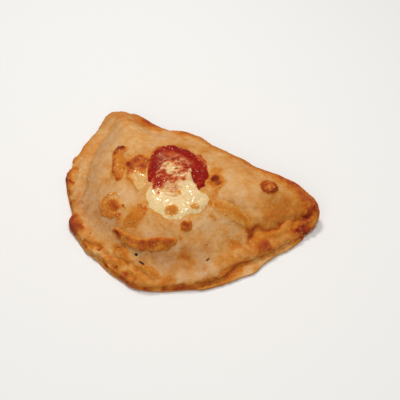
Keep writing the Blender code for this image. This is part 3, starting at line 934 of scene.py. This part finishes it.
def mozzarella_look():
    """Cream-coloured cheese, stained by the tomato under it and browned in spots."""
    s = bpy.context.scene.calzone_mozzarella
    made, tree, shader = look("melted mozzarella")
    thin = mottled(tree, value_of(tree, "thin"), 0.006, 0.18, 0.2)
    colour = ramp(tree, thin, ((0.0, s.milk), (1.0, s.cream)))
    stain = mottled(tree, mottled(tree, value_of(tree, "stain"), 0.005, 0.12, 0.4), 0.0014, 0.10, 0.8)
    colour = mixed(tree, 1.0, colour, ramp(tree, stain, STAIN_STEPS), "MULTIPLY")
    brown = mottled(tree, mottled(tree, value_of(tree, "brown"), 0.0025, 0.10, 1.4), 0.0009, 0.06, 1.8)
    colour = mixed(tree, 1.0, colour, ramp(tree, brown, SPOT_STEPS), "MULTIPLY")
    # Painted glints: pale specks on the mozzarella
    colour = mixed(tree, painted_glints(tree, 0.0018, 0.42), colour, MOZZARELLA_PAINTED_GLINT)
    tree.links.new(colour, shader.inputs["Base Color"])
    tree.links.new(mottled(tree, 0.42, 0.003, 0.1, 1.0), shader.inputs["Roughness"])
    dry = maths(tree, "ADD", value_of(tree, "brown"), value_of(tree, "stain"))
    wet = maths(tree, "SUBTRACT", glint(tree, 0.9), dry, clamp=True)
    tree.links.new(wet, shader.inputs["Coat Weight"])
    grained(tree, shader, 0.0036, 0.0012, 0.00014, fine_share=0.2)
    moist(shader, 0.10, 1.9, 0.25, (0.004, 0.003, 0.0015))
    return made


def browned_look():
    """Cheese from melted to dark brown, wetter where it is pale."""
    s = bpy.context.scene.calzone_cheese
    made, tree, shader = look("browned cheese")
    brown = value_of(tree, "brown")
    for size, amount, shift in ((0.006, 0.10, 0.3), (0.0020, 0.09, 0.7), (0.0007, 0.04, 1.3)):
        brown = mottled(tree, brown, size, amount, shift)
    colour = ramp(tree, brown, ((0.05, s.melted), (0.35, s.golden), (0.62, s.brown), (0.95, s.dark)))
    # Painted glints: pale specks, as many as the piece's share
    fat_and_painted_glints = painted_glints(tree, 0.0016, value_of(tree, "fat_and_painted_glints"))
    colour = mixed(tree, maths(tree, "MULTIPLY", fat_and_painted_glints, 0.8), colour, BROWNED_PAINTED_GLINT)
    tree.links.new(colour, shader.inputs["Base Color"])
    tree.links.new(mottled(tree, 0.45, 0.003, 0.1, 1.0), shader.inputs["Roughness"])
    pale = maths(tree, "SUBTRACT", 1.5, maths(tree, "MULTIPLY", brown, 2.2), clamp=True)
    tree.links.new(maths(tree, "MULTIPLY", glint(tree, 0.6), pale), shader.inputs["Coat Weight"])
    grained(tree, shader, 0.0018, 0.0007, 0.00018)
    moist(shader, 0.07, 1.9, 0.10, (0.003, 0.0014, 0.0006))
    return made


def plain_look(name, colour, roughness):
    """A matt material of one colour, mottled darker and lighter."""
    made, tree, shader = look(name)
    darker, lighter = [c * 0.6 for c in colour], [min(1, c * 1.7) for c in colour]
    mottling = ramp(tree, mottled(tree, 0.5, 0.0012, 0.35), ((0.2, darker), (0.8, lighter)))
    tree.links.new(mottling, shader.inputs["Base Color"])
    shader.inputs["Roughness"].default_value = roughness
    shader.inputs["Specular IOR Level"].default_value = 0.1
    return made


# Toppings: the shape of each one's top, from places, fullness and ground height in millimetres

def spread(p, full, ragged, size, soft):
    """1 inside a melted piece and 0 past its ragged edge, with a soft step between them."""
    return smooth(0.0, soft, full + ragged * (1 - full) * clouds(p, size, 3, 5.0))


def streaks(p):
    """Noise drawn out along the pull of the melted cheese."""
    x, y = p[:, 0], p[:, 1]
    pulled = np.stack([x * 0.55 + y * 0.83, (y * 0.55 - x * 0.83) * 2.0, p[:, 2]], axis=1)
    return clouds(pulled, 6, 4, 3.0)


def marked(x, y, marks, lift, brown, crisp):
    """Adds each mark's lift, and its browning or other change of colour.

    A mark is a place with its size and turn, or a line with its half width, and then its lift
    in mm and its change of colour.
    """
    for points, size, height, amount in marks:
        if np.ndim(points) == 1:
            mark = patch(x, y, points, size[:2], size[2], crisp)
        else:
            mark = along(x, y, points, size)
        lift, brown = lift + height * mark, brown + amount * mark
    return lift, brown


# Where the tomato is thin and bright, and where mozzarella veils it: place, size, turn, amount
THIN_AREAS = (
    ((-14, 26), (6, 5), 0, 0.8),
    ((-1, 28), (10, 3.4), 0, 0.7),
    ((11, 24), (3.4, 5), 20, 0.6),
    ((9, 38), (7, 2.6), -24, 1.0),
    ((18, 35), (6, 2.8), -40, 0.9),
    ((-4, -4), (6, 5), 0, 0.4),
)
VEILED_AREAS = (
    ((-7, 18), (8, 7), 20, 1.0),
    ((3, 23), (8, 3.6), -20, 1.0),
    ((-7, 8), (4, 6), 20, 0.6),
    ((-17, 21), (4, 4), 0, 0.5),
    ((1, 27), (8, 2.6), -14, 0.6),
)


def tomato_shape(p, full, ground):
    """Lumpy pulp with a ragged edge."""
    x, y = p[:, 0], p[:, 1]
    body = spread(p, full, ragged=0.5, size=5.0, soft=0.7)
    pulp = 0.35 * lumps(p, 4.6, 0.3) + 0.2 * lumps(p, 2.8, 4.4) + 0.5 * clouds(p, 8, 3, 1.0)
    top = bpy.context.scene.calzone_tomato.lumps / MM
    new = -0.35 + 1.0 * body + top * body * (0.3 + pulp)
    milky = np.clip(areas(x, y, VEILED_AREAS), 0, 1) * (0.6 + 0.5 * streaks(p)) - 0.1
    bright = (0.10 + 0.30 * (1 - body) + 0.50 * areas(x, y, THIN_AREAS)
              + 0.16 * pulp + 0.08 * clouds(p, 4, 2, 3.0))
    return new, {"bright": bright, "milky": milky}


# Marks of the mozzarella, as marked takes them: where it is thick and clean, where the tomato
# stains it, and where it is browned, with a painted glint as a pale fleck in two browned spots
CREAMY = (
    ((-4, 15), (7, 5, 20), 0.6, 1.0),
    ((-4, 8), (5, 3, 0), 0.2, 0.5),
    ((10, 11), (4, 3, 30), 0.2, 0.4),
    ((-9, 20), (4, 3, 30), 0.3, 0.7),
    ((2, 22), (5, 2.4, -35), 0.2, 0.5),
    (((11, 23), (14, 17), (19, 12), (26, 8)), 3.2, 0.6, 1.2),
    (((4, 9), (7, 5), (8, 1)), 1.6, 0.2, 0.5),
    ((8, -4), (5, 4, 0), 0.2, 0.9),
    ((17, 2), (5, 5, 0), 0.3, 1.0),
    ((19, -5), (5, 3, 20), 0.1, 0.7),
    ((24, 3), (8, 8, 0), 0.3, 1.1),
)
STAINED = (
    (((1, 24), (5, 19), (8, 15)), 1.7, -0.2, 0.24),
    (((5, 27), (9, 22), (13, 15)), 1.2, -0.2, 0.30),
    (((-3, 22), (1, 20), (2, 14)), 0.9, -0.1, 0.15),
    ((1, 3), (9, 3.4, 10), -0.3, 0.25),
    ((-4, -4), (8, 4.8, -20), -0.3, 0.42),
    ((11, -5), (9, 5, -10), 0.0, 0.20),
    ((0, -8), (6, 3.8, -20), 0.0, 0.45),
    ((2, -16), (9, 6, -20), 0.0, 0.14),
    ((8, 3), (5, 4, 0), 0.0, 0.22),
    ((7, 16), (3, 4, 0), 0.0, 0.15),
    ((24, 20), (2.4, 3, 0), -1.2, 0.6),
    ((28.5, 12), (5, 2.8, -25), -2.2, 0.9),
    ((31, 10), (6, 3, -20), -1.0, 0.0),
    ((5, -13.5), (1.3, 1.6, 0), 0.1, 0.85),
    ((-2, -10.5), (2.6, 1.3, -30), 0.0, 0.5),
)
SPOTTED = (
    ((23.6, -21), (6.0, 4.8, 55), 0.2, 0.80),
    # Painted glint: a pale fleck in the browned spot
    ((22, -24), (2.0, 1.6, 0), 0.2, -0.2),
    ((36, -7), (4.2, 3.0, 30), 0.1, 0.62),
    # Painted glint: a pale fleck in the browned spot
    ((34, -6), (1.2, 1.4, 0), 0.1, -0.2),
    (((3, -8.5), (9, -11), (15, -11), (22, -7.5)), 0.8, -0.5, 0.38),
    (((11, 6), (13, 1), (12, -3)), 0.6, -0.4, 0.40),
    (((14, -2), (18, -3.5), (22, -7)), 0.8, -0.4, 0.34),
    ((14.5, 7.5), (1.5, 2.4, 20), 0.2, 0.6),
    ((31.5, 9), (5, 2.6, -30), -0.4, 0.42),
    ((17, -6), (5, 3, 10), 0.1, 0.34),
    ((6, -21), (3, 1.2, 0), 0.1, 0.12),
)


def mozzarella_shape(p, full, ground):
    """Melted cheese, pulled thin over the tomato and thicker in front of it."""
    x, y = p[:, 0], p[:, 1]
    on_tomato = smooth(0.3, 1.2, ground)
    body = spread(p, full, ragged=0.15, size=9.0, soft=0.85)
    slant = streaks(p)
    bubbles = lumps(p, 5.0, 6.5)
    thick, cream = marked(x + 0.8 * slant, y, CREAMY, 0.0, 0.0, 1.0)
    sunk, red = marked(x, y + 0.8 * slant, STAINED, 0.0, 0.0, 1.2)
    raised, brown = marked(x, y, SPOTTED, 0.0, 0.0, 3.0)
    wrinkled = patch(x, y, (13, -4), (10, 6), 10, 2)
    # Where the cheese was pulled over the tomato
    pull = smooth(-12, -2, y) * smooth(26, 14, x)
    new = -0.45 + body * (1.9 - 0.8 * on_tomato + 0.4 * clouds(p, 8, 2, 6.0) + 0.5 * bubbles * full)
    wrinkles = wrinkled * (1.2 * lumps(p, 3.6, 0.2) - 0.3)
    new += body * (thick + sunk + raised + 0.5 * pull * slant + wrinkles)
    # The tomato shows through where the cheese is pulled thin, at its edge and between its wrinkles
    edge = 1 - smooth(0.0, 0.9, full)
    stain = pull * (0.64 + 0.36 * slant + 0.16 * clouds(p, 2.6, 2, 1.0))
    stain -= 0.62 * np.clip(cream, 0, 1.2) * (1 - 0.5 * edge)
    stain = np.clip(stain, 0.02, 0.82) + red + on_tomato * 0.55 * edge
    stain += 0.2 * wrinkled * (1 - lumps(p, 3.6, 0.2))
    thin = 0.30 - 0.30 * pull + 0.75 * (1 - smooth(0.05, 0.5, full))
    thin += 0.3 * clouds(p, 7, 2, 9.0) - 0.15 * bubbles
    return new, {"brown": brown, "stain": stain, "thin": thin}


# Each browned piece: its thickness in the frame, its baked thickness in mm, how ragged it is,
# its lift and browning, and its marks
BROWNED = {
    "cheese_hook": (2.2, 1.5, 0.35, 0.0, 0.40, (
        (((-46, 13.5), (-52, 13.5), (-58, 11)), 3.2, 0.5, 0.62),
        (((-57, 11), (-56, 7), (-53, 3)), 2.2, 0.3, 0.36),
        (((-52, 0), (-49, -5), (-43, -12), (-33, -18)), 2.0, 0.2, 0.22),
        (((-45, 4), (-40, 0)), 1.4, 0.3, 0.22),
        ((-33.5, -16), (2.6, 1.6, 0), 0.2, 0.24),
        ((-44, -4), (3, 6, 35), 0.1, -0.06))),
    "cheese_flow": (1.8, 1.0, 0.7, 0.0, 0.10, (
        ((-28, 6), (13, 7, 24), 0.5, 0.50),
        ((-33, 11), (4.4, 3, 0), 0.5, 0.30),
        ((-31, 5), (2.6, 2.2, 0), 0.4, 0.24),
        ((-24, 10), (3, 2, 0), 0.4, 0.18),
        ((-34.5, -1.8), (2.6, 2.0, -24), 0.7, 0.16),
        ((-28.5, -5), (5, 3.4, -20), 0.0, 0.14),
        ((-33, -5), (8, 6, -25), 0.1, 0.42),
        (((-31, -11), (-25, -13.5), (-18, -15.5)), 2.0, 0.2, 0.32),
        # Painted glint: a paler raised streak
        (((-24, -4), (-19, -7), (-14, -11)), 1.8, 0.8, -0.08),
        ((-21, 0), (6, 5, 0), 0.1, 0.36),
        (((-10, -13), (-6, -17)), 1.6, 0.5, -0.1))),
    "cheese_patch": (1.2, 0.36, 0.6, 0.0, 0.42, (
        ((2, -29), (4, 4, 0), 0.0, 0.12),
        ((-1, -40), (5, 4, 0), 0.0, 0.08),
        ((5, -36), (2, 5, 0), 0.1, 0.08))),
    "cheese_string": (2.8, 2.0, 0.35, 0.0, 0.38, (
        # The paler upper edge: paler cheese, partly a painted highlight
        (((-14, -48.5), (-6, -49), (4, -49.5), (14, -48), (24, -43), (33, -36)), 1.9, 0.4, -0.22),
        (((-15, -50.5), (-8, -52.5), (-2, -53)), 1.8, 0.0, 0.26),
        ((-6.5, -51), (4.6, 3.2, 0), 0.7, 0.26),
        ((3, -51.5), (3, 2.4, 0), 0.5, 0.18),
        ((17.5, -52), (4.2, 3.2, 10), 1.0, 0.28),
        ((24.5, -47.5), (4.4, 3.6, 30), 1.1, 0.32),
        ((26.5, -42.5), (3.0, 2.6, 0), 0.9, 0.31),
        ((34.5, -40), (4.4, 3.8, 40), 1.1, 0.30),
        ((8, -53.5), (5, 1.6, 0), 0.1, 0.18))),
    "cheese_trail": (1.2, 0.32, 0.9, 0.0, 0.20, (
        (((42, 3), (50, 6.5), (57, 9.5), (62, 12.5), (68, 14), (74, 14.5)), 3.6, 0.1, 0.15),
        ((47, 5), (4, 3, 0), 0.1, 0.06),
        ((66, 14), (3, 2.4, 0), 0.4, 0.10),
        ((72, 14), (3, 2.6, 0), 0.6, 0.14))),
    "cheese_button": (2.6, 1.4, 0.35, -0.8, 0.20, (
        (((-26, -28), (-33, -28), (-37, -32), (-36, -38), (-30, -42), (-21, -43.5), (-14, -42.5)),
         3.4, 0.9, 0.22),
        ((-24, -37), (7.2, 3.8, -14), 0.9, 0.42),
        ((-20, -38.5), (2, 1.6, 0), 0.2, 0.14),
        # A paler raised line at the pale cheese's edge, partly a painted highlight
        (((-27, -32), (-20, -33.5), (-14, -35)), 1.4, 0.5, -0.10),
        ((-14, -35), (2.0, 1.8, 0), 0.6, 0.6),
        ((-15, -42.5), (3, 1.7, 0), 0.4, 0.34))),
    "cheese_drop": (2.0, 1.4, 0.3, 0.0, 0.50, (
        ((40, -23.5), (2.6, 3, 0), 0.3, 0.28),
        ((36.5, -21.5), (1.8, 3, 0), 0.2, 0.22),
        # Painted glint: the paler, sunken middle of the drop
        ((38, -20.5), (1.9, 1.9, 0), -0.3, -0.34),
        ((37.5, -26), (2.6, 1.4, 0), 0.0, -0.08))),
    "cheese_spot": (1.6, 1.1, 0.5, -0.3, 0.42, (
        ((33.2, 24.6), (3.2, 4.2, -30), 0.8, 0.53),
        ((37.8, 22.5), (2.4, 3, 0), 0.5, 0.34),
        ((31, 29), (3, 3, 0), 0.0, 0.10))),
    "cheese_disc": (2.2, 1.3, 0.35, -0.2, 0.54, (
        (((66, 54), (64.5, 48), (67, 43), (71, 42), (75, 46), (75.5, 51), (71, 55), (67, 56)),
         1.9, 0.7, 0.26),
        (((69, 53), (67.5, 48), (70, 45)), 1.0, 0.5, 0.24),
        ((72, 49), (2.4, 3.6, 0), 0.3, -0.06),
        ((69, 49), (1.4, 2, 0), 0.2, 0.14))),
}


def cheese_shape(height, ragged, lift, browning, marks):
    """The shape of a browned piece's top, from its row above."""
    def shape(p, full, ground):
        body = spread(p, full, ragged, size=6.0, soft=0.75)
        x, y = p[:, 0] + 0.5 * clouds(p, 4, 2, 6.0), p[:, 1] + 0.5 * clouds(p, 4, 2, 9.0)
        raised, brown = marked(x, y, marks, lift + 0 * full, browning, 2.0)
        uneven = 1.0 + raised + 0.45 * lumps(p, 3.4, 1.2) + 0.3 * clouds(p, 5, 2, 2.0)
        new = -0.35 + body * height * uneven
        edge = 0.5 * (browning + 0.3)
        # The share of painted glint specks, more on thick pieces
        fat_and_painted_glints = 0.28 * min(1, height / 1.3) ** 2 * smooth(0.3, 0.8, body)
        return new, {"brown": edge + (brown - edge) * smooth(0.1, 0.7, body), "fat_and_painted_glints": fat_and_painted_glints}
    return shape


# Burnt crumbs and dried herb on the dough: place, length, width and turn
CRUMBS = (
    ((15, -57), 2.8, 2.2, 20), ((22.6, -60.2), 6.0, 1.5, -36), ((6, -71), 1.9, 1.5, 0),
    ((26, -51), 1.1, 0.8, 60), ((-22, -47), 1.0, 0.9, 0), ((-32, -57), 1.2, 0.7, 30),
    ((-17, -65), 1.6, 1.0, 0), ((-2, -43), 0.9, 0.8, 0), ((57, -21), 1.1, 0.9, 0),
    ((3, -56), 1.4, 1.0, 0), ((-2, -58), 1.5, 0.9, 50), ((41, 20), 1.0, 0.8, 0),
    ((-60, 8), 0.9, 0.7, 0), ((70, -44), 0.9, 0.6, 0), ((5, -66), 1.0, 0.8, 0),
)
HERBS = (((63, -28), 4.4, 1.4, 20), ((100, 50), 1.6, 1.0, 10))


class CALZONE_OT_dough(bpy.types.Operator):
    """Makes the browned dough from the folded crust"""
    bl_idname = "calzone.dough"
    bl_label = "Dough"

    def execute(self, context):
        piece, _ = bare_dough()
        mesh = piece.data
        places, out = read(mesh, "places"), read(mesh, "normals")
        lift, brown, oil, dull = dough_marks(places / MM, out[:, 2])
        fat_and_painted_glints, change = fat_round_toppings(places / MM, out[:, 2])
        oil, brown = np.maximum(oil, fat_and_painted_glints), brown + change
        moved = places + out * (lift * MM)[:, None]
        moved[:, 2] = np.maximum(moved[:, 2], 0)
        mesh.vertices.foreach_set("co", moved.ravel())
        tint(mesh, brown=brown, oil=oil, dull=dull)
        mesh.update()
        stand_in(piece, "crust", dough_look())
        return {"FINISHED"}


class CALZONE_OT_tomato(bpy.types.Operator):
    """Lays the lumpy tomato on the dough"""
    bl_idname = "calzone.tomato"
    bl_label = "Tomato"

    def execute(self, context):
        net = context.scene.calzone_tomato.net
        piece = melt_onto("tomato_sauce", "tomato_pulp", net, tomato_shape, 2.6)
        stand_in(piece, "tomato_sauce", tomato_look())
        return {"FINISHED"}


class CALZONE_OT_mozzarella(bpy.types.Operator):
    """Melts the mozzarella over the tomato"""
    bl_idname = "calzone.mozzarella"
    bl_label = "Mozzarella"

    def execute(self, context):
        net, tomato = context.scene.calzone_mozzarella.net, bpy.data.objects["tomato_pulp"]
        piece = melt_onto("mozzarella", "melted_cheese", net, mozzarella_shape, 3.0, ease=5, over=tomato)
        stand_in(piece, "mozzarella", mozzarella_look())
        return {"FINISHED"}


class CALZONE_OT_cheese(bpy.types.Operator):
    """Lays the strips and drops of browned cheese on the dough"""
    bl_idname = "calzone.cheese"
    bl_label = "Browned cheese"

    def execute(self, context):
        finish = browned_look()
        net = context.scene.calzone_cheese.net
        for name, (thickness, *row) in BROWNED.items():
            shape = cheese_shape(*row)
            piece = melt_onto(name, name.replace("cheese", "browned"), net, shape, thickness, grow=1.2)
            stand_in(piece, name, finish)
        return {"FINISHED"}


def scattered(name, rows, flatness, seed, finish):
    """Small irregular flakes resting on the dough, as one piece."""
    tree = tree_of(bare_dough()[0].data)
    rng = np.random.default_rng(seed)
    bm = bmesh.new()
    for at, length, width, turn in rows:
        foot, normal, _, _ = tree.ray_cast(Vector((at[0] * MM, at[1] * MM, 0.2)), Vector((0, 0, -1)))
        upright = normal.to_track_quat("Z", "Y").to_matrix().to_4x4()
        size = Matrix.Diagonal((length / 2 * MM, width / 2 * MM, width / 2 * flatness * MM, 1))
        put = Matrix.Translation(foot + normal * width * flatness * 0.3 * MM) @ upright
        put = put @ Matrix.Rotation(math.radians(turn), 4, "Z") @ size
        made = bmesh.ops.create_icosphere(bm, subdivisions=2, radius=1.0)["verts"]
        for v in made:
            v.co *= 1 + 0.28 * noise.noise(v.co * 1.7 + Vector(rng.uniform(-9, 9, 3)))
        bmesh.ops.transform(bm, matrix=put, verts=made)
    mesh = bpy.data.meshes.new(name)
    bm.to_mesh(mesh)
    bm.free()
    mesh.materials.append(finish)
    piece = bpy.data.objects.new(name, mesh)
    bpy.context.scene.collection.objects.link(piece)
    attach(piece, "root")


class CALZONE_OT_seasoning(bpy.types.Operator):
    """Scatters burnt crumbs and dried herb over the dough"""
    bl_idname = "calzone.seasoning"
    bl_label = "Crumbs and herb"

    def execute(self, context):
        s = context.scene.calzone_seasoning
        scattered("burnt_crumbs", CRUMBS, 0.45, s.seed, plain_look("char", s.char, 0.6))
        scattered("dried_herb", HERBS, 0.35, s.seed + 1, plain_look("dried herb", s.herb, 0.7))
        return {"FINISHED"}


AIM = (22, 20, 14)      # what the camera looks at, in mm


def area_light(name, place, size, power, mirrored=True):
    """A round light aimed at the calzone; one that is not mirrored gives no glints."""
    data = bpy.data.lights.new(name, "AREA")
    data.shape, data.size, data.energy = "DISK", size, power
    light = bpy.data.objects.new(name, data)
    light.location = place
    light.rotation_euler = (Vector(place) - Vector((0, 0, 0.02))).to_track_quat("Z", "Y").to_euler()
    light.visible_glossy = mirrored
    bpy.context.scene.collection.objects.link(light)


class CALZONE_OT_stage(bpy.types.Operator):
    """Sets up the floor, the light and the camera"""
    bl_idname = "calzone.stage"
    bl_label = "Stage"

    def execute(self, context):
        s = context.scene.calzone_stage
        bm = bmesh.new()
        bmesh.ops.create_grid(bm, x_segments=1, y_segments=1, size=3.0)
        mesh = bpy.data.meshes.new("floor")
        bm.to_mesh(mesh)
        bm.free()
        floor = bpy.data.objects.new("floor", mesh)
        made, _, shader = look("pale floor")
        shader.inputs["Base Color"].default_value = (*s.floor, 1)
        shader.inputs["Roughness"].default_value = 0.8
        mesh.materials.append(made)
        context.scene.collection.objects.link(floor)

        world = bpy.data.worlds.new("soft daylight")
        world.use_nodes = True
        sky = world.node_tree.nodes["Background"].inputs
        sky["Color"].default_value = (1, 0.99, 0.97, 1)
        sky["Strength"].default_value = s.daylight
        world.cycles_visibility.glossy = False
        context.scene.world = world
        area_light("window", (-0.40, 0.3, 1.0), 0.28, s.window)
        area_light("lamp", (0.25, 0.0, 1.15), 0.3, s.window * 0.75)
        area_light("fill", (0.3, -0.9, 0.8), 0.9, s.window * 0.45, mirrored=False)

        target = Vector([n * MM for n in AIM])
        level = math.cos(s.elevation)
        back = Vector((math.sin(s.azimuth) * level, -math.cos(s.azimuth) * level, math.sin(s.elevation)))
        data = bpy.data.cameras.new("view")
        data.lens, data.sensor_width = s.lens, 36.0
        camera = bpy.data.objects.new("view", data)
        camera.location = target + back * s.distance
        camera.rotation_euler = back.to_track_quat("Z", "Y").to_euler()
        context.scene.collection.objects.link(camera)
        context.scene.camera = camera
        context.scene.view_settings.view_transform = "Standard"
        return {"FINISHED"}


OPERATORS = (
    CALZONE_OT_dough,
    CALZONE_OT_tomato,
    CALZONE_OT_mozzarella,
    CALZONE_OT_cheese,
    CALZONE_OT_seasoning,
    CALZONE_OT_stage,
)


class CALZONE_PT_parts(bpy.types.Panel):
    """Lists the calzone's pieces and their settings"""
    bl_label = "Calzone"
    bl_idname = "CALZONE_PT_parts"
    bl_space_type = "VIEW_3D"
    bl_region_type = "UI"
    bl_category = "Calzone"

    def draw(self, context):
        for operator, name in zip(OPERATORS, SETTINGS):
            box = self.layout.box()
            box.operator(operator.bl_idname)
            for setting in SETTINGS[name].__annotations__:
                box.prop(getattr(context.scene, name), setting)


def register():
    for group in SETTINGS.values():
        bpy.utils.register_class(group)
    for name, group in SETTINGS.items():
        setattr(bpy.types.Scene, name, PointerProperty(type=group))
    for made in (*OPERATORS, CALZONE_PT_parts):
        bpy.utils.register_class(made)


def unregister():
    for made in reversed((*OPERATORS, CALZONE_PT_parts)):
        bpy.utils.unregister_class(made)
    for name, group in reversed(list(SETTINGS.items())):
        delattr(bpy.types.Scene, name)
        bpy.utils.unregister_class(group)


def main():
    """Builds the calzone. The toppings come first, and each is laid on the bare dough."""
    register()
    bare_dough()
    bpy.ops.calzone.tomato()
    bpy.ops.calzone.mozzarella()
    bpy.ops.calzone.cheese()
    bpy.ops.calzone.dough()
    bpy.ops.calzone.seasoning()
    bpy.ops.calzone.stage()


if __name__ == "__main__":
    main()
